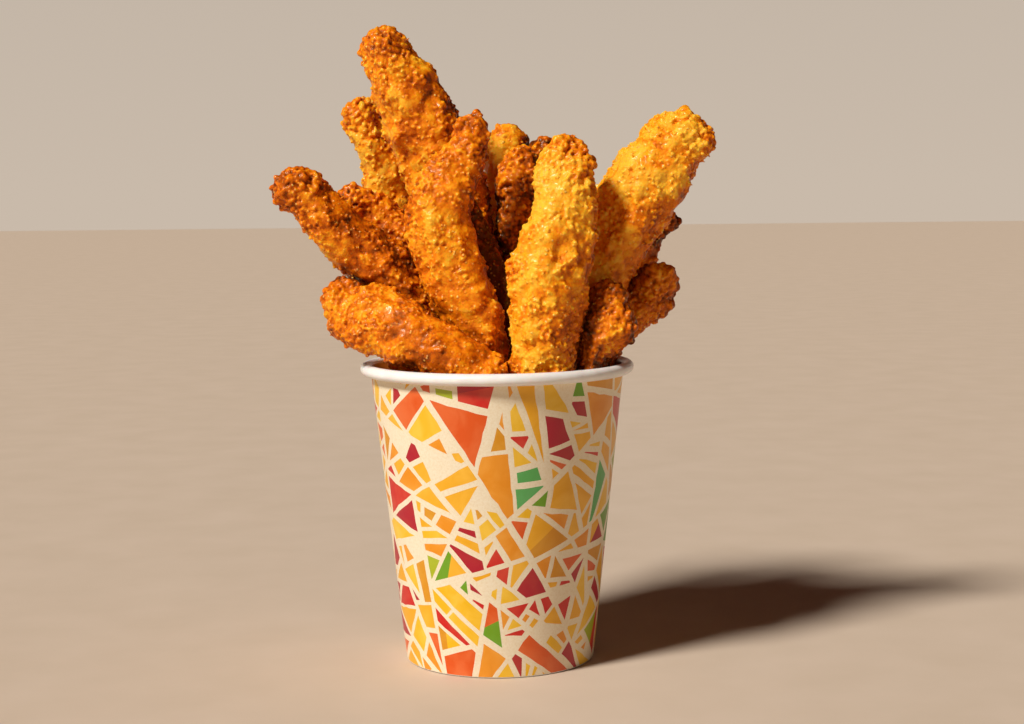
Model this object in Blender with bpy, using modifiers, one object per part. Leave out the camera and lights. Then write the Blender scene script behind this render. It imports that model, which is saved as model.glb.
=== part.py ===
"""Breaded chicken tenders standing in a tapered paper cup.

Fifteen fried tenders lean out of the cup in all directions, wedged where its wall narrows.
The frame is in metres, +Z up, with the origin on the floor under the middle of the cup.
The front of the cup looks along -Y. Sizes below are in millimetres.
"""

import math

import bmesh
import bpy
import numpy as np
from mathutils import Vector, noise

MM = 0.001

# Paper cup
CUP_HEIGHT = 127.0
RIM_RADIUS = 58.0
ROLL_RADIUS = 2.5
TOP_RADIUS = 53.5
BASE_RADIUS = 40.2
WALL = 0.6
FLOOR_LIFT = 7.4
FOOT_WIDTH = 1.6
FOOT_CHAMFER = 0.4
CUP_STEPS = 48
ROLL_POINTS = 9
ROLL_ARC = 320.0

# Tenders, shared sizes
CLEARANCE = 0.6
THICKNESS_SHARE = 0.78
RIM_CLEARANCE = 1.2
FOOT_CAP = 8.0
LUMP_HEIGHT, LUMP_SPACING = 2.4, 13.0
CRAG_HEIGHT, CRAG_SPACING = 1.4, 6.5
SPINE_POINTS = 800
SPINE_SAMPLES = 60
TANGENT_SHARE = 0.02
RING_CROWDING = 0.7
SEED_SHIFT = Vector((37.0, 11.0, 0.0))
RELIEF_FADE = 5.0
LEAST_HALF = 0.05
LEAST_SHARE = 0.5
LEAST_RADIUS = 0.5
PRESS_STEP = 0.5
PULL_IN = 0.94
EDGE_SHARES = (0.15, 0.3, 0.5, 0.7, 0.85)
FACING = Vector((0.0, -1.0, 0.0))

# One row for each tender: the middle of its section as x, y, z and its width, from the tip to the foot.
STATIONS = {
    "tender_tall_left": [
        (-53, 8, 267, 15), (-46, 8, 258, 23), (-39, 9, 245, 30), (-32, 11, 231, 34), (-26, 13, 215, 35),
        (-19, 15, 196, 35), (-12, 17, 168, 33), (-8, 18, 138, 29), (-7, 18, 112, 18),
    ],
    "tender_back_left": [
        (-59, 36, 241, 11), (-58, 37, 232, 17), (-54, 38, 220, 19), (-49, 39, 204, 22),
        (-43, 39, 180, 25), (-33, 38, 150, 26), (-28, 36, 120, 24), (-25, 31, 90, 15),
    ],
    "tender_front": [
        (-8, -13, 231, 9), (-9, -14, 222, 12), (-13, -16, 212, 19), (-19, -18, 202, 25), (-23, -20, 189, 27),
        (-20, -20, 176, 29), (-16, -20, 163, 29), (-11, -20, 148, 28), (-8, -19, 126, 27), (-8, -18, 102, 23),
        (-9, -17, 78, 15),
    ],
    "tender_middle": [
        (-17, -3, 197, 12), (-13, -2, 187, 17), (-5, -2, 168, 20), (2, -3, 146, 22),
        (9, -6, 118, 23), (11, -7, 82, 21), (9, -6, 46, 14),
    ],
    "tender_low_left": [
        (-92, -6, 203, 12), (-87, -6, 201, 17), (-81, -6, 199, 20), (-74, -5, 192, 22), (-66, -3, 182, 25),
        (-56, -1, 173, 28), (-44, 0, 161, 28), (-35, -1, 142, 27), (-32, -3, 116, 26), (-28, -4, 88, 17),
    ],
    "tender_mid_left": [
        (-71, 17, 196, 12), (-66, 18, 194, 17), (-58, 20, 190, 22), (-48, 21, 184, 25),
        (-39, 21, 169, 26), (-33, 20, 146, 26), (-31, 18, 112, 25), (-27, 16, 76, 16),
    ],
    "tender_rim_left": [
        (-69, -6, 161, 17), (-64, -9, 155, 22), (-58, -12, 149, 28), (-51, -17, 147, 30), (-38, -25, 141, 28),
        (-24, -32, 135, 25), (-10, -37, 128, 22), (0, -40, 123, 18), (6, -41, 119, 12),
    ],
    "tender_back_light": [
        (1, 36, 229, 15), (4, 37, 221, 23), (5, 38, 208, 25), (1, 39, 180, 24),
        (-2, 39, 146, 26), (-3, 38, 108, 25), (-4, 32, 70, 15),
    ],
    "tender_centre": [
        (13, 11, 219, 12), (11, 12, 209, 17), (8, 13, 195, 20), (7, 14, 170, 22),
        (11, 14, 140, 24), (15, 12, 102, 23), (15, 11, 62, 15),
    ],
    "tender_back_centre": [
        (21, 32, 223, 13), (21, 33, 213, 18), (20, 35, 192, 21), (20, 36, 164, 24),
        (20, 36, 134, 26), (20, 34, 100, 24), (18, 29, 66, 14),
    ],
    "tender_front_tall": [
        (32, -20, 222, 11), (30, -22, 215, 17), (28, -25, 206, 23), (28, -28, 192, 28), (25, -30, 176, 32),
        (22, -31, 158, 32), (20, -31, 140, 30), (18, -31, 120, 28), (16, -29, 96, 25), (14, -26, 66, 16),
    ],
    "tender_right": [
        (86, -5, 229, 18), (81, -5, 223, 26), (75, -4, 217, 32), (68, -4, 208, 35), (60, -3, 197, 37),
        (51, -1, 182, 36), (42, 0, 166, 34), (35, 0, 146, 30), (30, 0, 122, 27), (27, 0, 96, 18),
    ],
    "tender_back_right": [
        (76, 25, 191, 10), (70, 25, 182, 14), (57, 26, 165, 19), (44, 26, 146, 22),
        (37, 24, 120, 25), (33, 21, 88, 22), (29, 17, 54, 14),
    ],
    "tender_low_right": [
        (71, 3, 168, 13), (69, 4, 161, 18), (64, 5, 152, 20), (56, 6, 144, 19), (48, 6, 135, 19),
        (43, 5, 112, 22), (38, 2, 78, 20), (32, -1, 42, 13),
    ],
    "tender_rim_right": [
        (46, -21, 162, 12), (46, -22, 154, 18), (46, -23, 145, 24), (44, -24, 135, 24),
        (40, -24, 120, 24), (34, -21, 90, 23), (28, -17, 58, 20), (23, -13, 30, 14),
    ],
}

# How each tender is turned about its own length in degrees, how long its rounded tip is,
# its sides and rings, and its crust's colour.
CRUSTS = {
    "tender_tall_left": (-25, 7, 24, 22, (0.70, 0.33, 0.06)),
    "tender_back_left": (15, 8, 18, 16, (0.62, 0.26, 0.05)),
    "tender_front": (-10, 6, 24, 22, (0.72, 0.34, 0.06)),
    "tender_middle": (20, 8, 16, 14, (0.66, 0.30, 0.05)),
    "tender_low_left": (20, 7, 24, 20, (0.68, 0.30, 0.05)),
    "tender_mid_left": (-15, 8, 18, 16, (0.55, 0.20, 0.04)),
    "tender_rim_left": (25, 9, 24, 18, (0.70, 0.32, 0.06)),
    "tender_back_light": (10, 7, 18, 14, (0.76, 0.42, 0.09)),
    "tender_centre": (-20, 8, 18, 16, (0.45, 0.15, 0.03)),
    "tender_back_centre": (10, 8, 16, 14, (0.55, 0.22, 0.04)),
    "tender_front_tall": (5, 7, 26, 24, (0.76, 0.38, 0.07)),
    "tender_right": (-30, 9, 26, 22, (0.78, 0.42, 0.08)),
    "tender_back_right": (0, 6, 16, 16, (0.66, 0.30, 0.05)),
    "tender_low_right": (15, 8, 18, 18, (0.50, 0.18, 0.03)),
    "tender_rim_right": (-15, 8, 20, 18, (0.66, 0.28, 0.05)),
}

# Large knobs of batter and dents between them: place, radius and height, negative for a dent.
KNOBS = {
    "tender_tall_left": [((-44, 8, 267), 6, -1.0)],
    "tender_back_left": [((-66, 33, 233), 7, 2.0), ((-60, 28, 238), 4, -2.0)],
    "tender_front": [((-35, -16, 190), 8, 3.0), ((-24, -16, 216), 5, 2.5), ((-22, -16, 152), 7, 2.0)],
    "tender_low_left": [((-92, -6, 209), 7, 2.5), ((-75, -6, 206), 6, 2.0)],
    "tender_mid_left": [((-60, 18, 204), 5, 3.0)],
    "tender_rim_left": [((-64, -8, 166), 6, 2.5), ((-75, -9, 149), 7, -3.5)],
    "tender_front_tall": [((5, -30, 170), 8, 3.0), ((42, -25, 204), 6, 1.5), ((40, -30, 168), 5, -2.0)],
    "tender_right": [((90, -5, 232), 8, 3.0)],
    "tender_back_right": [((80, 22, 188), 6, 3.0)],
    "tender_low_right": [((64, 0, 170), 6, 2.5), ((78, 2, 166), 6, 2.0), ((74, 2, 143), 6, 2.0)],
    "tender_rim_right": [((58, -23, 143), 7, 2.0)],
}


def new_material(name, colour, roughness):
    material = bpy.data.materials.new(name)
    material.use_nodes = True
    shader = material.node_tree.nodes["Principled BSDF"]
    shader.inputs["Base Color"].default_value = (*colour, 1.0)
    shader.inputs["Roughness"].default_value = roughness
    shader.inputs["Metallic"].default_value = 0.0
    return material


def add_object(name, mesh, material, collection):
    mesh.materials.append(material)
    mesh.shade_smooth()
    obj = bpy.data.objects.new(name, mesh)
    collection.objects.link(obj)
    return obj


def wall_radius(z):
    """Outer radius of the straight tapered wall at a height."""
    top = CUP_HEIGHT - 2 * ROLL_RADIUS
    return BASE_RADIUS + (TOP_RADIUS - BASE_RADIUS) * z / top


def cup_profile():
    """Half section, from the middle of the floor up the inside, round the rolled rim and down the outside."""
    roll_r, roll_z = RIM_RADIUS - ROLL_RADIUS, CUP_HEIGHT - ROLL_RADIUS
    foot_in = wall_radius(0) - FOOT_WIDTH
    points = [(0.0, FLOOR_LIFT + WALL), (wall_radius(FLOOR_LIFT + WALL) - WALL, FLOOR_LIFT + WALL)]
    points.append((wall_radius(roll_z) - WALL, roll_z))
    for k in range(1, ROLL_POINTS + 1):
        angle = math.radians(180 - ROLL_ARC * k / (ROLL_POINTS + 1))
        points.append((roll_r + ROLL_RADIUS * math.cos(angle), roll_z + ROLL_RADIUS * math.sin(angle)))
    points.append((wall_radius(CUP_HEIGHT - 2 * ROLL_RADIUS), CUP_HEIGHT - 2 * ROLL_RADIUS))
    points.append((wall_radius(FOOT_CHAMFER), FOOT_CHAMFER))
    points.append((wall_radius(0) - FOOT_CHAMFER, 0.0))
    points += [(foot_in, 0.0), (foot_in, FLOOR_LIFT), (0.0, FLOOR_LIFT)]
    return points


def build_cup(collection):
    """Pressed paper: a tapered wall with a rolled rim, and a floor raised inside a folded foot."""
    mesh = bpy.data.meshes.new("paper_cup")
    points = [(r * MM, 0.0, z * MM) for r, z in cup_profile()]
    mesh.from_pydata(points, [(k, k + 1) for k in range(len(points) - 1)], [])
    cup = add_object("paper_cup", mesh, new_material("printed_paper", (0.90, 0.80, 0.60), 0.45), collection)
    screw = cup.modifiers.new("turned", "SCREW")
    screw.axis = "Z"
    screw.angle = math.tau
    screw.steps = screw.render_steps = CUP_STEPS
    screw.use_merge_vertices = True
    screw.merge_threshold = 1e-6
    weld = cup.modifiers.new("axis", "WELD")
    weld.merge_threshold = 1e-6


def catmull(points, t):
    """Smooth curve through rows of numbers, at t from 0 at the first row to 1 at the last."""
    rows = np.asarray(points, float)
    rows = np.vstack([2 * rows[0] - rows[1], rows, 2 * rows[-1] - rows[-2]])
    x = np.clip(t, 0, 1) * (len(rows) - 3)
    k = np.minimum(x.astype(int), len(rows) - 4)
    u = (x - k)[:, None]
    p0, p1, p2, p3 = (rows[k + i] for i in range(4))
    return 0.5 * (2 * p1 + (p2 - p0) * u + (2 * p0 - 5 * p1 + 4 * p2 - p3) * u**2
                  + (3 * p1 - p0 - 3 * p2 + p3) * u**3)


class Spine:
    """The middle line of a tender with its section's axes and half sizes, sampled along its length."""

    def __init__(self, stations, turn, tip_cap):
        dense = catmull(stations, np.linspace(0, 1, SPINE_POINTS))
        steps = np.linalg.norm(np.diff(dense[:, :3], axis=0), axis=1)
        self.length = steps.sum()
        self.along = np.concatenate([[0], np.cumsum(steps)]) / self.length
        self.dense = dense
        self.turn = math.radians(turn)
        self.tip_cap = tip_cap
        self.samples = self.at(np.linspace(0, 1, SPINE_SAMPLES))

    def at(self, s):
        """Centre, width axis, thickness axis and half sizes at shares s of the length."""
        row = np.stack([np.interp(s, self.along, self.dense[:, i]) for i in range(4)], 1)
        ahead, behind = np.minimum(s + TANGENT_SHARE, 1), np.maximum(s - TANGENT_SHARE, 0)
        up = np.stack([np.interp(behind, self.along, self.dense[:, i])
                       - np.interp(ahead, self.along, self.dense[:, i]) for i in range(3)], 1)
        up /= np.linalg.norm(up, axis=1)[:, None]
        face = np.array(FACING)[None] - up * (up @ np.array(FACING))[:, None]
        face /= np.linalg.norm(face, axis=1)[:, None]
        side = np.cross(face, up)
        wide = side * math.cos(self.turn) + face * math.sin(self.turn)
        thick = face * math.cos(self.turn) - side * math.sin(self.turn)
        half = row[:, 3] / 2
        near = np.minimum(s * self.length / self.tip_cap, (1 - s) * self.length / FOOT_CAP).clip(0, 1)
        half = half * np.sqrt(np.clip(1 - (1 - near) ** 2, 0, 1))
        return row[:, :3], wide, thick, half, half * THICKNESS_SHARE

    def depth(self, points):
        """Signed distance from points to the smooth surface, negative inside."""
        centre, wide, thick, half_w, half_t = self.samples
        gap = points[:, None] - centre[None]
        nearest = np.einsum("ijk,ijk->ij", gap, gap).argmin(1)
        gap = gap[np.arange(len(points)), nearest]
        a = np.einsum("ij,ij->i", gap, wide[nearest]) / np.maximum(half_w[nearest], LEAST_HALF)
        b = np.einsum("ij,ij->i", gap, thick[nearest]) / np.maximum(half_t[nearest], LEAST_HALF)
        reach = np.linalg.norm(gap, axis=1)
        scaled = np.maximum(np.hypot(a, b), 1e-6)
        return np.where(reach < 1e-6, -half_t[nearest], reach - reach / scaled)


def cup_gap(points):
    """Distance from points to the cup's paper, with more room kept round the rolled rim."""
    radius, z = np.hypot(points[:, 0], points[:, 1]), points[:, 2]
    roll = np.hypot(radius - (RIM_RADIUS - ROLL_RADIUS), z - (CUP_HEIGHT - ROLL_RADIUS))
    roll -= ROLL_RADIUS + RIM_CLEARANCE
    height = np.clip(z, 0, CUP_HEIGHT - ROLL_RADIUS)
    wall = np.hypot(radius - (wall_radius(height) - WALL / 2), z - height) - WALL / 2
    floor = np.where(radius < wall_radius(0), np.abs(z - FLOOR_LIFT - WALL / 2) - WALL / 2, np.inf)
    return np.minimum(np.minimum(roll, wall), floor)


def crust_relief(point, seed, knobs):
    """Height of the crust's lumps, crags and knobs over the smooth surface."""
    place = Vector(point) + seed * SEED_SHIFT
    lumps = noise.noise(place / LUMP_SPACING) * LUMP_HEIGHT
    crags = noise.noise(place / CRAG_SPACING) * CRAG_HEIGHT
    large = 0.0
    for at, radius, high in knobs:
        away = (Vector(point) - Vector(at)).length
        large += high * math.exp(-((away / radius) ** 2))
    return lumps + crags + large


def is_free(points, name, spines):
    """True where a point is nearer to its own tender than to any other, and clear of the cup."""
    mine = spines[name].depth(points) + CLEARANCE
    free = cup_gap(points) > CLEARANCE
    for other in spines:
        if other != name:
            free &= mine < spines[other].depth(points)
    return free


def build_tender(name, seed, spines, collection):
    """A sphere drawn out along the spine, roughened, then pressed against its neighbours and the cup."""
    _, _, sides, rings, colour = CRUSTS[name]
    knobs = KNOBS.get(name, [])
    own = spines[name]
    shape = bmesh.new()
    bmesh.ops.create_uvsphere(shape, u_segments=sides, v_segments=rings, radius=1.0)
    ball = np.array([v.co for v in shape.verts], float)
    q = np.arccos(np.clip(ball[:, 2], -1, 1)) / math.pi
    share = q - RING_CROWDING * np.sin(math.tau * q) / math.tau
    centre, wide, thick, half_w, half_t = own.at(share)
    angle = np.arctan2(ball[:, 1], ball[:, 0])
    direction = wide * np.cos(angle)[:, None] + thick * np.sin(angle)[:, None]
    poles = np.hypot(ball[:, 0], ball[:, 1]) < 1e-4
    direction[poles] = 0.0
    across, through = np.maximum(half_w, LEAST_HALF), np.maximum(half_t, LEAST_HALF)
    flat = np.hypot(np.cos(angle) / across, np.sin(angle) / through)
    full = np.where(poles, 0.0, 1 / flat)
    relief = np.array([crust_relief(p, seed, knobs) for p in centre + direction * full[:, None]])
    full = np.maximum(full + relief * np.minimum(full / RELIEF_FADE, 1.0), full * LEAST_SHARE)

    radius, growing = np.zeros(len(ball)), np.ones(len(ball), bool)
    while growing.any():
        wider = np.minimum(radius + PRESS_STEP, full)
        growing &= (radius < full) & is_free(centre + direction * wider[:, None], name, spines)
        radius = np.where(growing, wider, radius)
    ends = np.array([[v.index for v in edge.verts] for edge in shape.edges])
    shrinking = True
    while shrinking:
        place = centre + direction * radius[:, None]
        tight = np.zeros(len(ends), bool)
        for along in EDGE_SHARES:
            tight |= ~is_free(place[ends[:, 0]] * (1 - along) + place[ends[:, 1]] * along, name, spines)
        pulled = np.unique(ends[tight])
        radius[pulled] *= PULL_IN
        shrinking = len(pulled) > 0 and radius[~poles].min() > LEAST_RADIUS
    for vert, place in zip(shape.verts, centre + direction * radius[:, None]):
        vert.co = Vector(place) * MM
    mesh = bpy.data.meshes.new(name)
    shape.to_mesh(mesh)
    shape.free()
    add_object(name, mesh, new_material(name + "_crust", colour, 0.55), collection)


def main():
    for obj in list(bpy.data.objects):
        bpy.data.objects.remove(obj)
    collection = bpy.data.collections.new("chicken_tenders_in_paper_cup")
    bpy.context.scene.collection.children.link(collection)
    build_cup(collection)
    spines = {name: Spine(rows, *CRUSTS[name][:2]) for name, rows in STATIONS.items()}
    for seed, name in enumerate(STATIONS):
        build_tender(name, seed, spines, collection)


main()
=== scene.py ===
import math

import bmesh
import bpy
import numpy as np
from mathutils import Matrix, Vector, geometry, noise
from mathutils.bvhtree import BVHTree


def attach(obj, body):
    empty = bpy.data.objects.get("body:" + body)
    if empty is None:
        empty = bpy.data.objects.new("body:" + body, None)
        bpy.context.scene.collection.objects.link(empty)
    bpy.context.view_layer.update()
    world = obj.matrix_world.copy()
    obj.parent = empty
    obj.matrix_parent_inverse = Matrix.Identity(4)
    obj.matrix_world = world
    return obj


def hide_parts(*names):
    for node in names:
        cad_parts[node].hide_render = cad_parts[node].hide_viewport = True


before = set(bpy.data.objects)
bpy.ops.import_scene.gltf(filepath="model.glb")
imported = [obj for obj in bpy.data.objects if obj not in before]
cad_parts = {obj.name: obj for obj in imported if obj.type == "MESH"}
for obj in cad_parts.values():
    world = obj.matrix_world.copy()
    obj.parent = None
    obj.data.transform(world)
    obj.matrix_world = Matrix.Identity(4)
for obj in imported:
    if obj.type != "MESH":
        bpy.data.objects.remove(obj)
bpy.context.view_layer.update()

# Printed wall of the cup
# One sheet of coated cup board, printed flat with loose shards like broken tile, then rolled into a
# taper and glued along a side seam at the back.

# Lengths are given in millimetres, and MM turns them into the scene's metres.
MM = 0.001
WALL_TOP, WALL_FOOT = 123.2, 0.4
TOP_RADIUS, FOOT_RADIUS = 53.5, 40.2
STRAIGHT_TO = 122.0
MEAN_RADIUS = 47.0
SHEET_WIDTH = math.tau * MEAN_RADIUS
SHEET_FROM, SHEET_TO = -4.0, 127.0
EDGE_INSET = 0.05
SEAM_ANGLE = math.radians(98)
SEAM_LAP, SEAM_STEP, SEAM_FADE = 7.0, 0.35, 3.0
COLUMNS = 96

# The print: how large shards are, how their cuts lean and stray, the bare margins round them, the wobble
# of torn edges, and the shares of shards left bare or printed in two inks. Inks have a colour and a weight.
PRINT_SEED = 41
SHARD_AREAS = (13.0, 210.0)
LEAST_SPLIT, LEAST_SHARD, LARGEST_SHARD = 4.0, 5.0, 620.0
SPLIT_OVER = 2.2
SPLIT_TURN, SPLIT_SHIFT = 0.5, 0.11
SHARD_MARGINS = (0.55, 1.7)
TORN_STEP, TORN_WOBBLE = 3.5, 0.16
BARE_SHARE = 0.07
TWO_INK_SHARE, TWO_INK_AREA = 0.16, 45.0
BOARD_CREAM = "#F3E4C6"
INKS = {
    "yellow": ("#F5B400", 23), "pale_yellow": ("#F7C52E", 14), "amber": ("#EF9A00", 14),
    "ochre": ("#DE9A06", 6), "orange": ("#E46207", 8), "vermilion": ("#D22B02", 12), "red": ("#B4000A", 11),
    "leaf": ("#6DA31A", 5), "lime": ("#ABB812", 3), "mint": ("#5FB063", 3),
}


def linear(hex_colour):
    """A hex sRGB colour as the linear values that shaders take."""
    parts = [int(hex_colour[k:k + 2], 16) / 255 for k in (1, 3, 5)]
    return tuple(c / 12.92 if c <= 0.04045 else ((c + 0.055) / 1.055) ** 2.4 for c in parts)


def add_node(owner, kind, inputs=(), stops=(), **settings):
    """Adds a node to a material or world.

    Inputs give its sockets a value or another node's output, stops fill its colour ramp from places and
    hex colours or plain values, and settings name its other properties and sockets.
    """
    made = owner.node_tree.nodes.new(kind)
    for key, value in settings.items():
        if hasattr(made, key):
            setattr(made, key, value)
        else:
            made.inputs[key.replace("_", " ")].default_value = value
    for socket, source in dict(inputs).items():
        if isinstance(source, bpy.types.NodeSocket):
            owner.node_tree.links.new(source, made.inputs[socket])
        else:
            made.inputs[socket].default_value = source
    for _ in stops[2:]:
        made.color_ramp.elements.new(0.5)
    for k, (place, colour) in enumerate(stops):
        parts = linear(colour) if isinstance(colour, str) else (colour,) * 3
        made.color_ramp.elements[k].position = place
        made.color_ramp.elements[k].color = (*parts, 1)
    return made


def new_material(name, **shader):
    """A material with a Principled shader, whose sockets are set by name."""
    material = bpy.data.materials.new(name)
    material.use_nodes = True
    principled = material.node_tree.nodes["Principled BSDF"]
    for key, value in shader.items():
        principled.inputs[key.replace("_", " ")].default_value = value
    return material, principled


def wall_radius(up):
    """The radius of the wall's outer face at a height, in millimetres."""
    return FOOT_RADIUS + (TOP_RADIUS - FOOT_RADIUS) * up / STRAIGHT_TO


def wall_point(across, up, out=0.0):
    """A point of the flat printed sheet, in millimetres, rolled onto the cup's taper."""
    angle = SEAM_ANGLE + math.tau * across / SHEET_WIDTH
    radius = wall_radius(up) + out
    return Vector((radius * math.cos(angle), radius * math.sin(angle), up)) * MM


def keep_side(outline, through, normal):
    """The part of a convex outline on the side of a line that its normal points to."""
    kept = []
    for here, ahead in zip(outline, outline[1:] + outline[:1]):
        a, b = (here - through).dot(normal), (ahead - through).dot(normal)
        if a >= 0:
            kept.append(here)
        if (a >= 0) != (b >= 0):
            kept.append(here.lerp(ahead, a / (a - b)))
    return kept


def area_of(outline):
    return 0.5 * sum(a.x * b.y - a.y * b.x for a, b in zip(outline, outline[1:] + outline[:1]))


def middle_of(outline):
    return sum(outline, Vector((0, 0))) / len(outline)


def drawn_in(outline, rng):
    """The outline drawn in from each edge by its share of a gap between shards."""
    inner = list(outline)
    for here, ahead in zip(outline, outline[1:] + outline[:1]):
        edge = ahead - here
        if edge.length > 1e-6:
            inward = Vector((-edge.y, edge.x)).normalized()
            inner = keep_side(inner, here + inward * rng.uniform(*SHARD_MARGINS), inward)
        if len(inner) < 3:
            return []
    return inner


def torn(outline, rng):
    """The outline with the slight wobble of cut and torn paper along its edges."""
    points = []
    for here, ahead in zip(outline, outline[1:] + outline[:1]):
        edge = ahead - here
        steps = max(1, int(edge.length / TORN_STEP))
        for k in range(steps):
            wobble = 0.0 if k == 0 else rng.normal(0, TORN_WOBBLE)
            points.append(here + edge * (k / steps) + Vector((-edge.y, edge.x)).normalized() * wobble)
    return points


def shard_outlines(rng):
    """Splits the sheet again and again along leaning lines, and gives each shard an ink."""
    names = list(INKS)
    weights = np.array([INKS[n][1] for n in names], float)
    weights /= weights.sum()
    waiting = [[Vector((0, SHEET_FROM)), Vector((SHEET_WIDTH, SHEET_FROM)), Vector((SHEET_WIDTH, SHEET_TO)),
                Vector((0, SHEET_TO))]]
    shards = []
    while waiting:
        outline = waiting.pop()
        size, middle = area_of(outline), middle_of(outline)
        least = math.exp(rng.uniform(*np.log(SHARD_AREAS)))
        if size > SPLIT_OVER * least or size > LARGEST_SHARD:
            longest = max((p - middle for p in outline), key=lambda p: p.length).normalized()
            normal = Matrix.Rotation(rng.normal(0, SPLIT_TURN), 2) @ longest
            through = middle + longest * rng.normal(0, SPLIT_SHIFT) * math.sqrt(size)
            halves = keep_side(outline, through, normal), keep_side(outline, through, -normal)
            waiting += [half for half in halves if len(half) > 2 and area_of(half) > LEAST_SPLIT]
            continue
        inner = drawn_in(outline, rng)
        if len(inner) < 3 or area_of(inner) < LEAST_SHARD or rng.random() < BARE_SHARE:
            continue
        ink, other = rng.choice(names, 2, p=weights)
        if rng.random() < TWO_INK_SHARE and area_of(inner) > TWO_INK_AREA:
            turn = rng.uniform(0, math.tau)
            normal = Vector((math.cos(turn), math.sin(turn)))
            shards += [(keep_side(inner, middle_of(inner), normal), ink),
                       (keep_side(inner, middle_of(inner), -normal), other)]
        else:
            shards.append((torn(inner, rng), ink))
    return [(outline, ink) for outline, ink in shards if len(outline) > 2]


def printed_sheet():
    """The flat sheet cut along every shard's edge, so that each face has one ink."""
    borders = (((EDGE_INSET, 0), (1, 0)), ((SHEET_WIDTH - EDGE_INSET, 0), (-1, 0)),
               ((0, WALL_FOOT + EDGE_INSET), (0, 1)), ((0, WALL_TOP - EDGE_INSET), (0, -1)))
    points, faces, inks, edges = [], [], [], []
    for outline, ink in shard_outlines(np.random.default_rng(PRINT_SEED)):
        for through, normal in borders:
            outline = keep_side(outline, Vector(through), Vector(normal))
        if len(outline) > 2:
            faces.append(list(range(len(points), len(points) + len(outline))))
            points += outline
            inks.append(ink)
    for k in range(COLUMNS + 1):
        across = SHEET_WIDTH * k / COLUMNS
        edges.append((len(points), len(points) + 1))
        points += [Vector((across, WALL_FOOT)), Vector((across, WALL_TOP))]
    for level in (WALL_FOOT, WALL_TOP):
        edges.append((len(points), len(points) + 1))
        points += [Vector((0, level)), Vector((SHEET_WIDTH, level))]
    flat, _, cut, _, _, owners = geometry.delaunay_2d_cdt(points, edges, faces, 0, 1e-4)
    return flat, cut, [inks[owner[0]] if owner else None for owner in owners]


def new_piece(name, mesh, node, slot, *materials):
    """Shows a mesh in the place of its solid, on the one body that the part has."""
    for material in materials:
        mesh.materials.append(material)
    piece = bpy.data.objects.new(name, mesh)
    bpy.context.scene.collection.objects.link(piece)
    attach(piece, "root")
    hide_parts(node)
    return piece


# Coated cup board, offset printed: a satin film over warm cream stock, with inks that pool and thin
# like watercolour, and faint fibre under the film.
PRINTED_BOARD, board_shader = new_material("printed_cup_board", IOR=1.5, Roughness=0.42, Coat_Weight=0.2,
                                           Coat_Roughness=0.3)
place = add_node(PRINTED_BOARD, "ShaderNodeTexCoord").outputs["Object"]
ink = add_node(PRINTED_BOARD, "ShaderNodeAttribute", attribute_name="ink")
pooling = add_node(PRINTED_BOARD, "ShaderNodeTexNoise", {"Vector": place}, Scale=1 / (14 * MM), Detail=3.0,
                   Roughness=0.55, Distortion=0.6)
wash = add_node(PRINTED_BOARD, "ShaderNodeValToRGB", {"Fac": pooling.outputs["Fac"]},
                ((0.4, 0.0), (0.7, 0.8)))
thinned = add_node(PRINTED_BOARD, "ShaderNodeHueSaturation", {"Color": ink.outputs["Color"]}, Hue=0.504,
                   Saturation=0.95, Value=1.06)
deepened = add_node(PRINTED_BOARD, "ShaderNodeHueSaturation", {"Color": ink.outputs["Color"]}, Hue=0.494,
                    Saturation=1.05, Value=0.95)
inked = add_node(PRINTED_BOARD, "ShaderNodeMix", {0: wash.outputs["Color"], 6: deepened.outputs["Color"],
                                                  7: thinned.outputs["Color"]}, data_type="RGBA")
fibre = add_node(PRINTED_BOARD, "ShaderNodeTexNoise", {"Vector": place}, Scale=1 / (0.9 * MM), Detail=4.0,
                 Roughness=0.7)
stock = add_node(PRINTED_BOARD, "ShaderNodeValToRGB", {"Fac": fibre.outputs["Fac"]},
                 ((0.3, "#ECD9B6"), (0.5, BOARD_CREAM), (0.75, "#F7ECD5")))
face = add_node(PRINTED_BOARD, "ShaderNodeMix", {0: ink.outputs["Alpha"], 6: stock.outputs["Color"],
                                                 7: inked.outputs[2]}, data_type="RGBA")
ripple = add_node(PRINTED_BOARD, "ShaderNodeTexNoise", {"Vector": place}, Scale=1 / (16 * MM), Detail=2.0)
rolled = add_node(PRINTED_BOARD, "ShaderNodeBump", {"Height": ripple.outputs["Fac"]}, Strength=0.35,
                  Distance=0.5 * MM)
grained = add_node(PRINTED_BOARD, "ShaderNodeBump", {"Height": fibre.outputs["Fac"],
                                                     "Normal": rolled.outputs["Normal"]},
                   Strength=0.25, Distance=0.06 * MM)
PRINTED_BOARD.node_tree.links.new(face.outputs[2], board_shader.inputs["Base Color"])
PRINTED_BOARD.node_tree.links.new(grained.outputs["Normal"], board_shader.inputs["Normal"])

flat, cut, inks = printed_sheet()
wall = bpy.data.meshes.new("cup_printed_wall")
lap = [SEAM_STEP if p.x < SEAM_LAP else SEAM_STEP * max(0.0, 1 - (p.x - SEAM_LAP) / SEAM_FADE) for p in flat]
edge = [wall_point(SHEET_WIDTH, up, out) for up in (WALL_FOOT, WALL_TOP) for out in (0.0, SEAM_STEP)]
wall.from_pydata([wall_point(p.x, p.y, out) for p, out in zip(flat, lap)] + edge, [],
                 cut + [[len(flat) + k for k in (0, 1, 3, 2)]])
wall.shade_smooth()
colours = wall.color_attributes.new("ink", "FLOAT_COLOR", "CORNER")
for polygon, name in zip(wall.polygons, inks + [None]):
    colour = (*linear(INKS[name][0]), 1) if name else (*linear(BOARD_CREAM), 0)
    for loop in polygon.loop_indices:
        colours.data[loop].color = colour
new_piece("cup_printed_wall", wall, "paper_cup", "printed_paper", PRINTED_BOARD)

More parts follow.
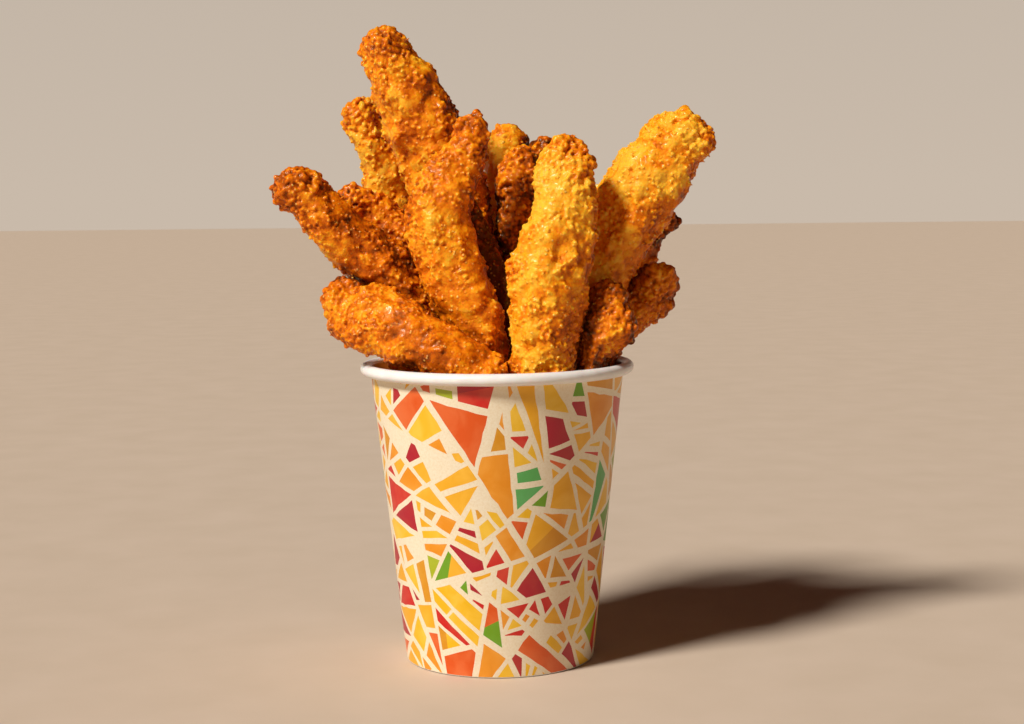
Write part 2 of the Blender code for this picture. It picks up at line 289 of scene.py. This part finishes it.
# Rolled rim, lining and raised base of the cup
# The top of the wall is curled outwards into a bead, the inside is white barrier-coated board, and the
# base is a disc pressed up inside the foot and crimped to the wall.

BOARD = 0.6
RIM_RADIUS, ROLL_RADIUS, CUP_HEIGHT = 58.0, 2.5, 127.0
ROLL_POINTS, ROLL_TURN = 26, 12.4
ROLL_END = 122.3
BASE_HEIGHT = 7.4
FOOT_WIDTH = 1.6
TURNS = 160
SEAM_RISE, SEAM_SPREAD = 0.3, 3.5
UNEVEN_BY, UNEVEN_ROUND, UNEVEN_UP = 0.22, 2.2, 0.05


def turned(profile, name):
    """A mesh turned from a half section of radius and height, with the paper's slight unevenness."""
    shape = bmesh.new()
    rings = []
    for k in range(TURNS):
        angle = math.tau * k / TURNS
        seam = SEAM_RISE * math.exp(-((math.degrees(angle - SEAM_ANGLE) / SEAM_SPREAD) ** 2))
        x, y = math.cos(angle), math.sin(angle)
        ring = []
        for radius, up in profile:
            uneven = noise.noise(Vector((x * UNEVEN_ROUND, y * UNEVEN_ROUND, up * UNEVEN_UP))) * UNEVEN_BY
            out = min(radius + (uneven + seam if radius > TOP_RADIUS + 0.5 else 0.0), RIM_RADIUS)
            ring.append(shape.verts.new(Vector((out * x, out * y, up)) * MM))
        rings.append(ring)
    for here, ahead in zip(rings, rings[1:] + rings[:1]):
        for k in range(len(profile) - 1):
            shape.faces.new((here[k], ahead[k], ahead[k + 1], here[k + 1]))
    bmesh.ops.remove_doubles(shape, verts=shape.verts, dist=1e-6)
    bmesh.ops.recalc_face_normals(shape, faces=shape.faces)
    mesh = bpy.data.meshes.new(name)
    shape.to_mesh(mesh)
    shape.free()
    mesh.shade_smooth()
    return mesh


# Barrier-coated board: bleached white with a thin waxy film, so its highlight is soft and its
# edges glow a little.
COATED_WHITE, white_shader = new_material("coated_white_board", IOR=1.5, Roughness=0.36,
                                          Subsurface_Weight=0.12, Subsurface_Scale=1.5 * MM,
                                          Coat_Weight=0.3, Coat_Roughness=0.22)
place = add_node(COATED_WHITE, "ShaderNodeTexCoord").outputs["Object"]
clouds = add_node(COATED_WHITE, "ShaderNodeTexNoise", {"Vector": place}, Scale=1 / (7 * MM), Detail=4.0)
tint = add_node(COATED_WHITE, "ShaderNodeValToRGB", {"Fac": clouds.outputs["Fac"]},
                ((0.3, "#EDEAE6"), (0.7, "#F8F6F3")))
fibres = add_node(COATED_WHITE, "ShaderNodeTexNoise", {"Vector": place}, Scale=1 / (0.8 * MM), Detail=3.0)
pressed = add_node(COATED_WHITE, "ShaderNodeBump", {"Height": clouds.outputs["Fac"]}, Strength=0.5,
                   Distance=0.35 * MM)
fine = add_node(COATED_WHITE, "ShaderNodeBump", {"Height": fibres.outputs["Fac"],
                                                 "Normal": pressed.outputs["Normal"]},
                Strength=0.3, Distance=0.05 * MM)
COATED_WHITE.node_tree.links.new(tint.outputs["Color"], white_shader.inputs["Base Color"])
COATED_WHITE.node_tree.links.new(fine.outputs["Normal"], white_shader.inputs["Normal"])

roll_r, roll_z = RIM_RADIUS - ROLL_RADIUS, CUP_HEIGHT - ROLL_RADIUS
bead = [(wall_radius(k) - BOARD, k) for k in (60.0, 90.0, 110.0, 120.0, roll_z)]
for k in range(1, ROLL_POINTS + 1):
    angle = math.radians(180 - ROLL_TURN * k)
    bead.append((roll_r + ROLL_RADIUS * math.cos(angle), roll_z + ROLL_RADIUS * math.sin(angle)))
bead.append((wall_radius(ROLL_END + 0.3) + 0.05, ROLL_END))
new_piece("cup_rolled_rim", turned(bead, "cup_rolled_rim"), "paper_cup", "printed_paper", COATED_WHITE)

inner_foot = wall_radius(0) - FOOT_WIDTH
base_top = BASE_HEIGHT + BOARD
base = [(wall_radius(k) - BOARD, k) for k in (60.0, 30.0, 9.0)]
base += [(wall_radius(base_top) - BOARD - 1.0, base_top), (20.0, base_top), (0.0, base_top)]
new_piece("cup_lining", turned(base, "cup_lining"), "paper_cup", "printed_paper", COATED_WHITE)
foot = [(wall_radius(0.4), 0.4), (wall_radius(0) - 0.15, 0.08), (wall_radius(0) - 0.45, 0.0),
        (inner_foot + 0.4, 0.0), (inner_foot + 0.1, 0.1), (inner_foot, 0.4), (inner_foot, 3.5),
        (inner_foot + 0.3, BASE_HEIGHT - 1.0), (inner_foot - 0.5, BASE_HEIGHT - 0.1), (30.0, BASE_HEIGHT),
        (12.0, BASE_HEIGHT), (0.0, BASE_HEIGHT)]
new_piece("cup_base", turned(foot, "cup_base"), "paper_cup", "printed_paper", COATED_WHITE)

# Tenders
# Strips of chicken breast, rolled in seasoned flour and batter until loose nuggets cling to them, and
# deep fried. Each is skinned over its solid, with its nuggets fused on where the batter gathered.

# Cells that the skins are made of, the height that the cup hides, and rounds of smoothing.
SKIN_CELL, CRUST_CELL = 0.9, 0.5
BURIED_BELOW = 112.0
WELD = 0.02
ROUNDING, HOLLOWING = 14, 8

# Spacing and height of the body's lumps and of its lobes, which have sharp valleys between them.
SWELLS = ((13.0, 1.2), (7.0, 0.9))
LOBES = ((6.5, 1.5), (3.2, 0.8))
LOBE_LEVEL, SET_IN = 0.25, 0.85

# How much batter gathers in patches, at the tip and along the edges.
BATTER_SPACING, BARE_BATTER, LEAST_BATTER = 9.0, 0.02, 0.22
GATHERED_BATTER, TIP_BATTER, EDGE_BATTER = 1.1, 1.1, 0.5
TIP_SHARE = 0.16

# Nuggets, each a ball of 42 corners, and the thorns among them. None comes near another tender.
NUGGETS = 2300
NUGGET_SIZE, NUGGET_SPREAD, NUGGET_STRETCH = 0.52, 0.26, (0.8, 1.25)
NUGGET_RISE, NUGGET_WOBBLE, NUGGET_GROWTH = 0.7, 0.08, 1.2
CRAGGY_BATTER = (1.0, 2.6)
NUGGET_GAP = 1.3
BALL_CORNERS = 42
THORN_SHARE, THORN_WIDTHS, THORN_LENGTHS, THORN_LEAN = 0.05, (0.42, 0.5), (1.0, 1.7), 0.35
COBBLE_SPACING, COBBLE_HEIGHT, COBBLE_LEVEL, COBBLE_PATCHES = 1.7, 0.22, 0.35, 8.0

# Browning of tips, edges and patches, and painted shade on the sides turned from the key light and where
# tenders touch.
TIP_BROWN, EDGE_BROWN = 0.14, 0.12
MOTTLES = ((15.0, 0.3, 9), (5.0, 0.22, 11))
SHADED_SIDE, SIDE_SHADE, SIDE_ROUNDING = np.array((0.93, 0.15, -0.33)), 0.5, 20
CONTACT_REACH, CONTACT_SHADE = 7.0, 0.5

# Each tender's tone from pale to deep, how thickly its nuggets lie, the thousands of triangles of its skin,
# and its spots: place, reach, how far they are darkened, and how much craggier they are, or how much smoother
# where negative. Some spots are browning, and others, noted at each, are painted shade.
CRUSTS = {
    # The second spot of tall_left is painted shade on its right side.
    "tall_left": (0.26, 1.0, 110, [((-56, 8, 264), 12, 0.2, 1.6), ((-27, 8, 237), 12, 0.42, 0.0)]),
    "back_left": (0.16, 0.7, 50, [((-60, 34, 238), 12, 0.15, 1.6)]),
    "front": (0.30, 1.0, 92, [
        ((-30, -16, 194), 9, 0.35, 1.6), ((-12, -15, 222), 14, 0.25, 1.6), ((-32, -18, 184), 7, 0.3, 1.6),
        ((-14, -20, 165), 13, 0.0, -0.8), ((-7, -10, 209), 6, 0.1, 2.5)]),
    # The middle tender's darkest tone is painted shade: it sits deep in the gap between its neighbours.
    "middle": (1.05, 0.5, 30, []),
    "low_left": (0.33, 0.8, 80, [
        ((-90, -6, 205), 13, 0.12, 1.6), ((-78, -5, 202), 9, 0.15, 1.6),
        # This spot is painted shade on the lower right of low_left.
        ((-43, -6, 172), 15, 0.35, 0.0)]),
    "mid_left": (0.50, 0.6, 40, [((-66, 17, 194), 12, 0.1, 1.6)]),
    "rim_left": (0.38, 1.0, 76, [
        # The last spot is smoother, and its darkening is painted shade on the low front, which is lit less.
        ((-68, -7, 163), 9, 0.2, 1.6), ((-68, -8, 150), 13, 0.1, 1.6), ((-24, -34, 134), 22, 0.2, -0.5)]),
    "back_light": (0.20, 0.15, 36, []),
    # The centre's spot is browner and craggier, and its darkening is partly painted shade between its
    # neighbours.
    "centre": (0.44, 0.8, 42, [((11, 12, 180), 24, 0.42, 1.6)]),
    "back_centre": (0.42, 0.7, 42, [((21, 32, 220), 14, 0.15, 1.6)]),
    "front_tall": (0.06, 1.0, 95, [
        ((33, -20, 218), 13, 0.3, 1.6), ((6, -31, 168), 7, 0.35, 1.6), ((24, -32, 124), 11, 0.25, 1.6),
        # The last spot is painted shade on the right side of front_tall.
        ((24, -34, 146), 17, 0.24, 0.3), ((37, -26, 178), 12, 0.28, 0.0)]),
    "right": (0.07, 0.9, 105, [
        # The last spot is a painted shadow, cast by front_tall onto this tender.
        ((88, -5, 230), 9, 0.3, 1.6), ((34, -10, 190), 10, 0.1, 1.6), ((54, -8, 184), 22, 0.3, 0.3)]),
    "back_right": (0.50, 0.6, 36, []),
    "low_right": (0.28, 0.8, 46, [((68, 3, 165), 14, 0.15, 1.6)]),
    "rim_right": (0.50, 0.7, 46, [((47, -21, 160), 10, 0.2, 1.6)]),
}


def shown_mesh(mesh, **modifiers):
    """The mesh as modifiers, given by kind with their settings, leave it."""
    holder = bpy.data.objects.new("holder", mesh)
    bpy.context.scene.collection.objects.link(holder)
    if "DECIMATE" in modifiers:
        low = np.flatnonzero(points_of(mesh)[:, 2] < BURIED_BELOW * MM)
        holder.vertex_groups.new(name="buried").add(low.tolist(), 1.0, "REPLACE")
    for kind, settings in modifiers.items():
        modifier = holder.modifiers.new(kind, kind)
        for key, value in settings.items():
            setattr(modifier, key, value)
    made = bpy.data.meshes.new_from_object(holder.evaluated_get(bpy.context.evaluated_depsgraph_get()))
    bpy.data.objects.remove(holder)
    return made


def skinned(mesh, cell):
    """The mesh skinned again in even cells, which fuses all that touches."""
    return shown_mesh(mesh, REMESH={"mode": "VOXEL", "voxel_size": cell * MM})


def thinned_out(mesh, thousands):
    """Takes most triangles out of the part that the cup hides, then the flattest of the rest."""
    buried = (points_of(mesh)[:, 2] < BURIED_BELOW * MM).mean()
    mesh = shown_mesh(mesh, DECIMATE={"vertex_group": "buried", "ratio": 1 - 0.9 * buried})
    mesh.calc_loop_triangles()
    return shown_mesh(mesh, DECIMATE={"ratio": min(1.0, thousands * 1000 / len(mesh.loop_triangles))})


def points_of(mesh):
    points = np.empty(len(mesh.vertices) * 3, np.float32)
    mesh.vertices.foreach_get("co", points)
    return points.reshape(-1, 3).astype(float)


def normals_of(mesh):
    normals = np.empty(len(mesh.vertices) * 3, np.float32)
    mesh.vertex_normals.foreach_get("vector", normals)
    return normals.reshape(-1, 3).astype(float)


def ends_of(mesh):
    ends = np.empty(len(mesh.edges) * 2, np.int32)
    mesh.edges.foreach_get("vertices", ends)
    return ends.reshape(-1, 2)


def smoothed(values, ends, rounds):
    """Averages each point with the points that it joins, a number of times over."""
    joined = np.bincount(ends.ravel(), minlength=len(values))[:, None]
    for _ in range(rounds):
        total = [np.bincount(ends[:, 0], column[ends[:, 1]], len(values))
                 + np.bincount(ends[:, 1], column[ends[:, 0]], len(values)) for column in values.T]
        values = (values + np.stack(total, 1) / joined) / 2
    return values


def swell(points, spacing, seed):
    """Smooth noise from about -1 to 1, whose swells lie about a spacing in millimetres apart."""
    return np.array([noise.noise(row) for row in (points / (spacing * MM) + seed * 7.31).tolist()])


def eased(values, low, high):
    """0 up to the low value and 1 from the high one, with a soft start and end between them."""
    share = np.clip((values - low) / (high - low), 0, 1)
    return share * share * (3 - 2 * share)


def nugget_mesh(body, centres, sizes, turns, wobble):
    """The body's mesh with a rounded nugget at each centre, sunk into it."""
    ball = bmesh.new()
    bmesh.ops.create_icosphere(ball, subdivisions=2, radius=1.0)
    ball.verts.ensure_lookup_table()
    corners = np.array([v.co for v in ball.verts])
    sides = np.array([[v.index for v in f.verts] for f in ball.faces])
    ball.free()
    shapes = corners[None] * wobble[:, :, None] * sizes[:, None]
    placed = np.einsum("nij,nkj->nki", turns, shapes) + centres[:, None]
    own = points_of(body)
    start = len(own) + len(corners) * np.arange(len(centres))
    faces = [list(p.vertices) for p in body.polygons]
    faces += (sides[None] + start[:, None, None]).reshape(-1, 3).tolist()
    mesh = bpy.data.meshes.new("nuggets")
    mesh.from_pydata(np.vstack([own, placed.reshape(-1, 3)]).tolist(), [], faces)
    return mesh


def random_turns(rng, count):
    """Evenly spread random rotations."""
    q = rng.normal(size=(count, 4))
    w, x, y, z = (q / np.linalg.norm(q, axis=1)[:, None]).T
    return np.stack([1 - 2 * (y * y + z * z), 2 * (x * y - z * w), 2 * (x * z + y * w),
                     2 * (x * y + z * w), 1 - 2 * (x * x + z * z), 2 * (y * z - x * w),
                     2 * (x * z - y * w), 2 * (y * z + x * w), 1 - 2 * (x * x + y * y)], 1).reshape(-1, 3, 3)


def gaps_to_others(points, node):
    """Each point's gap to the solids round its own, in millimetres, and no more than a contact's reach."""
    shape = bmesh.new()
    for other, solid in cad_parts.items():
        if other != node:
            shape.from_mesh(solid.data)
    around = BVHTree.FromBMesh(shape)
    shape.free()
    nearest = [around.find_nearest(point, CONTACT_REACH * MM)[3] for point in points.tolist()]
    return np.array([CONTACT_REACH if gap is None else gap / MM for gap in nearest])


def move_points(mesh, points):
    """Moves a mesh's points to new places."""
    mesh.vertices.foreach_set("co", points.ravel())
    mesh.update()


def near(points, at, reach):
    """1 at a place given in millimetres, fading to 0 over a reach round it."""
    return np.exp(-(np.linalg.norm(points - np.array(at) * MM, axis=1) / (reach * MM)) ** 2)


def lumpy_body(node, seed):
    """The tender's solid skinned, rounded off and swollen with lumps, with its points and rounded normals."""
    shape = bmesh.new()
    shape.from_mesh(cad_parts[node].data)
    bmesh.ops.remove_doubles(shape, verts=shape.verts, dist=WELD * MM)
    mesh = bpy.data.meshes.new("solid")
    shape.to_mesh(mesh)
    shape.free()
    body = skinned(mesh, SKIN_CELL)
    points = smoothed(points_of(body), ends_of(body), ROUNDING)
    move_points(body, points)
    out = normals_of(body)
    lump = sum(high * swell(points, apart, seed + k) for k, (apart, high) in enumerate(SWELLS))
    for k, (apart, high) in enumerate(LOBES):
        lump += high * (np.abs(swell(points, apart, seed + 3 + k)) - LOBE_LEVEL)
    points = points + out * ((lump - SET_IN) * MM)[:, None]
    move_points(body, points)
    return body, points, out


def with_nuggets(body, points, out, batter, count, node, rng):
    """The body with nuggets and a few thorns set into it, more and larger where more batter gathered."""
    chosen = rng.choice(len(points), NUGGETS, replace=False, p=batter / batter.sum())[:count]
    chosen = chosen[gaps_to_others(points[chosen], node) > NUGGET_GAP]
    craggy = eased(batter[chosen], *CRAGGY_BATTER)
    radius = np.exp(rng.normal(math.log(NUGGET_SIZE), NUGGET_SPREAD, len(chosen)))
    radius = radius * (1 + NUGGET_GROWTH * craggy * rng.random(len(chosen)))
    sizes = radius[:, None] * rng.uniform(*NUGGET_STRETCH, (len(chosen), 3)) * MM
    rise = radius * rng.uniform(0.0, NUGGET_RISE, len(chosen)) * MM
    wobble = rng.normal(1, NUGGET_WOBBLE, (len(chosen), BALL_CORNERS))
    turns = random_turns(rng, len(chosen))
    for k in np.flatnonzero(rng.random(len(chosen)) < THORN_SHARE):
        turns[k] = Vector(out[chosen[k]] + rng.normal(0, THORN_LEAN, 3)).to_track_quat("Z", "X").to_matrix()
        sizes[k] = np.array((*THORN_WIDTHS, rng.uniform(*THORN_LENGTHS))) * MM
    return nugget_mesh(body, points[chosen] + out[chosen] * rise[:, None], sizes, turns, wobble)


def cobble(crust, seed):
    """Presses fine cobbles into the crust, and returns its points, normals, edges and how far each crests."""
    points, ends, out = points_of(crust), ends_of(crust), normals_of(crust)
    cells = [noise.voronoi(row)[0][0] for row in (points / (COBBLE_SPACING * MM)).tolist()]
    share = 0.3 + 0.7 * eased(swell(points, COBBLE_PATCHES, seed + 5), -0.2, 0.25)
    points = points + out * ((COBBLE_LEVEL - np.array(cells) ** 2) * share * COBBLE_HEIGHT * MM)[:, None]
    move_points(crust, points)
    return points, out, ends, ((points - smoothed(points, ends, HOLLOWING)) * out).sum(1) / MM


def fry(name, seed):
    """Skins a tender's solid, fuses its nuggets on, and notes its browning, its painted shade and its crests.

    The right and lower sides, turned from the key light, are darker, and so is the crust where tenders press
    together: both are painted shade.
    """
    tone, thickly, thousands, spots = CRUSTS[name]
    node = "tender_" + name
    body, points, out = lumpy_body(node, seed)
    length_axis, width_axis = axes_of(points)
    batter = LEAST_BATTER + GATHERED_BATTER * eased(swell(points, BATTER_SPACING, seed + 5), -0.1, 0.35)
    batter += TIP_BATTER * tip_share(points, length_axis) + EDGE_BATTER * edge_share(points, width_axis)
    for at, reach, _, craggy in spots:
        batter += craggy * near(points, at, reach)
    batter = np.where(points[:, 2] < BURIED_BELOW * MM, 0, np.maximum(batter, BARE_BATTER))
    rng = np.random.default_rng(seed + 100)
    rough = with_nuggets(body, points, out, batter, int(NUGGETS * thickly), node, rng)
    crust = thinned_out(skinned(rough, CRUST_CELL), thousands)

    points, out, ends, crest = cobble(crust, seed)
    browning_and_shade = tone + TIP_BROWN * tip_share(points, length_axis) + EDGE_BROWN * edge_share(points, width_axis)
    for spacing, darkening, step in MOTTLES:
        browning_and_shade += darkening * swell(points, spacing, seed + step)
    # Painted shade: the right and lower sides, turned from the key light, are darker.
    browning_and_shade += SIDE_SHADE * np.clip(smoothed(out, ends, SIDE_ROUNDING) @ SHADED_SIDE, 0, 1)
    # Painted shade where tenders press together, standing in for the shade in the gaps between them.
    browning_and_shade += CONTACT_SHADE * (1 - eased(gaps_to_others(points, node), 0, CONTACT_REACH))
    # Spots add browning at some places and painted shade at others, as noted in CRUSTS.
    for at, reach, darkening, _ in spots:
        browning_and_shade += darkening * near(points, at, reach)
    for label, values in (("browning_and_shade", np.clip(browning_and_shade, -0.2, 1.4)), ("crest", np.clip(0.5 + crest * 1.1, 0, 1))):
        crust.attributes.new(label, "FLOAT", "POINT").data.foreach_set("value", values.astype(np.float32))
    crust.shade_smooth()
    crust.name = "crust_" + name
    return crust


def axes_of(points):
    """The tender's lengthwise axis, which points to its tip, and its widthwise axis, through its middle."""
    middle = points.mean(0)
    _, vectors = np.linalg.eigh(np.cov((points - middle).T))
    along = vectors[:, 2] * np.sign(vectors[2, 2])
    return (middle, along), (middle, vectors[:, 1])


def tip_share(points, axis):
    """1 at the tip, falling to 0 a share of the length further down."""
    along = (points - axis[0]) @ axis[1]
    return 1 - eased(along.max() - along, 0, TIP_SHARE * np.ptp(along))


def edge_share(points, axis):
    """1 at the two thin edges of the strip, and 0 along its middle."""
    across = np.abs((points - axis[0]) @ axis[1])
    return eased(across / across.max(), 0.5, 0.95)


# Fried breading: crisp flour and batter, glossy with frying oil that tints its glints. Thin crests are pale
# gold with painted glints on the bead tops, the body is orange gold, hollows are deeper as painted shade, and
# what caught most heat is browner.
FRIED, fried_shader = new_material("fried_breading", IOR=1.46, Subsurface_Weight=0.4,
                                   Subsurface_Scale=2.2 * MM, Subsurface_Radius=(1.0, 0.3, 0.05),
                                   Coat_Weight=0.1, Coat_Roughness=0.1, Coat_Tint=(1.0, 0.9, 0.7, 1.0),
                                   Specular_IOR_Level=0.3, Specular_Tint=(1.0, 0.78, 0.42, 1.0))
place = add_node(FRIED, "ShaderNodeTexCoord").outputs["Object"]
browning_and_shade = add_node(FRIED, "ShaderNodeAttribute", attribute_name="browning_and_shade").outputs["Fac"]
crest = add_node(FRIED, "ShaderNodeAttribute", attribute_name="crest").outputs["Fac"]
patches = add_node(FRIED, "ShaderNodeTexNoise", {"Vector": place}, Scale=1 / (4.5 * MM), Detail=4.0,
                   Roughness=0.62).outputs["Fac"]
grit = add_node(FRIED, "ShaderNodeTexNoise", {"Vector": place}, Scale=1 / (0.6 * MM), Detail=2.0,
                Roughness=0.6).outputs["Fac"]

# Beads of batter, where it gathered: round tops that stand out of the pebbled ground.
beads = add_node(FRIED, "ShaderNodeTexVoronoi", {"Vector": place}, Scale=1 / (1.7 * MM), Randomness=1.0)
from_middle = beads.outputs["Distance"]
squared = add_node(FRIED, "ShaderNodeMath", {0: from_middle, 1: from_middle}, operation="MULTIPLY").outputs[0]
domes = add_node(FRIED, "ShaderNodeMath", {0: squared, 1: -5.2, 2: 1.0}, operation="MULTIPLY_ADD",
                 use_clamp=True).outputs[0]
risen = add_node(FRIED, "ShaderNodeValToRGB", {"Fac": beads.outputs["Color"]},
                 ((0.4, 0.0), (0.55, 1.0))).outputs["Color"]
gathered = add_node(FRIED, "ShaderNodeValToRGB", {"Fac": patches},
                    ((0.4, 0.15), (0.56, 1.0))).outputs["Color"]
for share in (risen, gathered):
    domes = add_node(FRIED, "ShaderNodeMath", {0: domes, 1: share}, operation="MULTIPLY").outputs[0]
pebbles = add_node(FRIED, "ShaderNodeTexVoronoi", {"Vector": place}, Scale=1 / (1.15 * MM),
                   Randomness=1.0).outputs["Distance"]
ground = add_node(FRIED, "ShaderNodeMath", {0: pebbles, 1: pebbles}, operation="MULTIPLY").outputs[0]

# How deep the tone is: browning and painted shade from the mesh, mottled in patches, paler on crests and
# beads, and deeper in hollows and between pebbles, which is painted shade.
# Painted shade: the ground between pebbles is deeper in tone, and bead domes are paler.
relief = add_node(FRIED, "ShaderNodeMath", {0: ground, 1: domes}, operation="SUBTRACT").outputs[0]
# Painted shade: the tone deepens in hollows, where the crest is low.
sunk = add_node(FRIED, "ShaderNodeMath", {0: crest, 1: -0.75, 2: 0.375}, operation="MULTIPLY_ADD").outputs[0]
mottle = add_node(FRIED, "ShaderNodeMath", {0: patches, 1: 1.1, 2: -0.6}, operation="MULTIPLY_ADD").outputs[0]
depth = add_node(FRIED, "ShaderNodeMath", {0: browning_and_shade, 1: sunk}, operation="ADD").outputs[0]
depth = add_node(FRIED, "ShaderNodeMath", {0: depth, 1: mottle}, operation="ADD").outputs[0]
depth = add_node(FRIED, "ShaderNodeMath", {0: relief, 1: 0.13, 2: depth}, operation="MULTIPLY_ADD").outputs[0]
crust_tone = add_node(FRIED, "ShaderNodeValToRGB", {"Fac": depth},
                      ((0.0, "#FFBA34"), (0.2, "#F99F18"), (0.42, "#E67A08"), (0.62, "#C45C04"),
                       (0.82, "#934004"), (1.0, "#5E2604"))).outputs["Color"]
# Bead tops on crests are mixed towards pale gold: partly the paler thin crests, partly painted glints on
# every bead.
tops = add_node(FRIED, "ShaderNodeValToRGB", {"Fac": domes}, ((0.3, 0.0), (0.95, 0.75))).outputs["Color"]
lifted = add_node(FRIED, "ShaderNodeValToRGB", {"Fac": crest}, ((0.38, 0.0), (0.6, 1.0))).outputs["Color"]
pale_tops_and_glints = add_node(FRIED, "ShaderNodeMath", {0: tops, 1: lifted}, operation="MULTIPLY").outputs[0]
crust_tone = add_node(FRIED, "ShaderNodeMix", {0: pale_tops_and_glints, 6: crust_tone, 7: (*linear("#FFD67A"), 1.0)},
                      data_type="RGBA").outputs[2]
rough = add_node(FRIED, "ShaderNodeMath", {0: crest, 1: -0.4, 2: 0.62}, operation="MULTIPLY_ADD").outputs[0]
rough = add_node(FRIED, "ShaderNodeMath", {0: domes, 1: -0.22, 2: rough}, operation="MULTIPLY_ADD").outputs[0]
beaded = add_node(FRIED, "ShaderNodeBump", {"Height": domes}, Strength=0.85, Distance=0.5 * MM)
cobbled = add_node(FRIED, "ShaderNodeBump", {"Height": ground, "Normal": beaded.outputs["Normal"]},
                   Strength=0.35, Distance=0.45 * MM, invert=True)
gritty = add_node(FRIED, "ShaderNodeBump", {"Height": grit, "Normal": cobbled.outputs["Normal"]},
                  Strength=0.18, Distance=0.3 * MM)
FRIED.node_tree.links.new(crust_tone, fried_shader.inputs["Base Color"])
FRIED.node_tree.links.new(rough, fried_shader.inputs["Roughness"])
FRIED.node_tree.links.new(gritty.outputs["Normal"], fried_shader.inputs["Normal"])

SLOTS = {"back_light": "pale_crust", "right": "pale_crust", "front_tall": "pale_crust",
         "centre": "brown_crust", "mid_left": "brown_crust", "back_centre": "brown_crust",
         "low_right": "brown_crust"}
for seed, name in enumerate(CRUSTS):
    new_piece("crust_" + name, fry(name, seed), "tender_" + name, SLOTS.get(name, "golden_crust"), FRIED)

# Studio
# A pale matt floor, a large soft key light from the upper left of the camera and a weak fill, so that
# the right sides fall into warm shade.

FLOOR_HALF, FLOOR_DROP = 9.0, 0.0002
FLOOR, floor_shader = new_material("pale_studio_floor", Roughness=0.8)
place = add_node(FLOOR, "ShaderNodeTexCoord").outputs["Object"]
grain = add_node(FLOOR, "ShaderNodeTexNoise", {"Vector": place}, Scale=1 / (40 * MM), Detail=4.0)
pale = add_node(FLOOR, "ShaderNodeValToRGB", {"Fac": grain.outputs["Fac"]},
                ((0.3, "#CBB7A2"), (0.7, "#D0BCA8")))
FLOOR.node_tree.links.new(pale.outputs["Color"], floor_shader.inputs["Base Color"])
floor_mesh = bpy.data.meshes.new("studio_floor")
sheet = bmesh.new()
bmesh.ops.create_grid(sheet, x_segments=2, y_segments=2, size=FLOOR_HALF)
sheet.to_mesh(floor_mesh)
sheet.free()
floor_mesh.materials.append(FLOOR)
floor = bpy.data.objects.new("studio_floor", floor_mesh)
floor.location.z = -FLOOR_DROP
bpy.context.scene.collection.objects.link(floor)

# The air is pale behind the part and dim warm above it, so that shade stays warm and deep.
world = bpy.data.worlds.new("studio_air")
world.use_nodes = True
sky = add_node(world, "ShaderNodeTexCoord").outputs["Generated"]
height = add_node(world, "ShaderNodeSeparateXYZ", {0: sky}).outputs["Z"]
dome = add_node(world, "ShaderNodeValToRGB", {"Fac": height},
                ((0.0, "#C9BAAA"), (0.11, "#C4B6A7"), (0.17, "#4C2C1D"), (0.5, "#351D14")))
world.node_tree.links.new(dome.outputs["Color"], world.node_tree.nodes["Background"].inputs["Color"])
bpy.context.scene.world = world

sun = bpy.data.lights.new("key_light", "SUN")
sun.energy, sun.angle, sun.color = 4.0, math.radians(12), (1.0, 0.97, 0.91)
key = bpy.data.objects.new("key_light", sun)
key.rotation_euler = Vector((0.77, 0.64, -1.0)).to_track_quat("-Z", "Y").to_euler()
bpy.context.scene.collection.objects.link(key)

# Camera
# A normal lens a little above the rim, tipped down, with the slight roll of the picture.

CAMERA_AT = (0.00635, -0.760, 0.1996)
TIPPED_DOWN, ROLLED = 0.0961, -0.0101
camera_data = bpy.data.cameras.new("camera")
camera_data.sensor_width, camera_data.lens = 36.0, 63.09
camera_data.clip_start, camera_data.clip_end = 0.05, 30.0
camera = bpy.data.objects.new("camera", camera_data)
camera.matrix_world = (Matrix.Translation(CAMERA_AT) @ Matrix.Rotation(math.pi / 2 - TIPPED_DOWN, 4, "X")
                       @ Matrix.Rotation(ROLLED, 4, "Z"))
bpy.context.scene.collection.objects.link(camera)
bpy.context.scene.camera = camera
bpy.context.scene.view_settings.view_transform = "Standard"
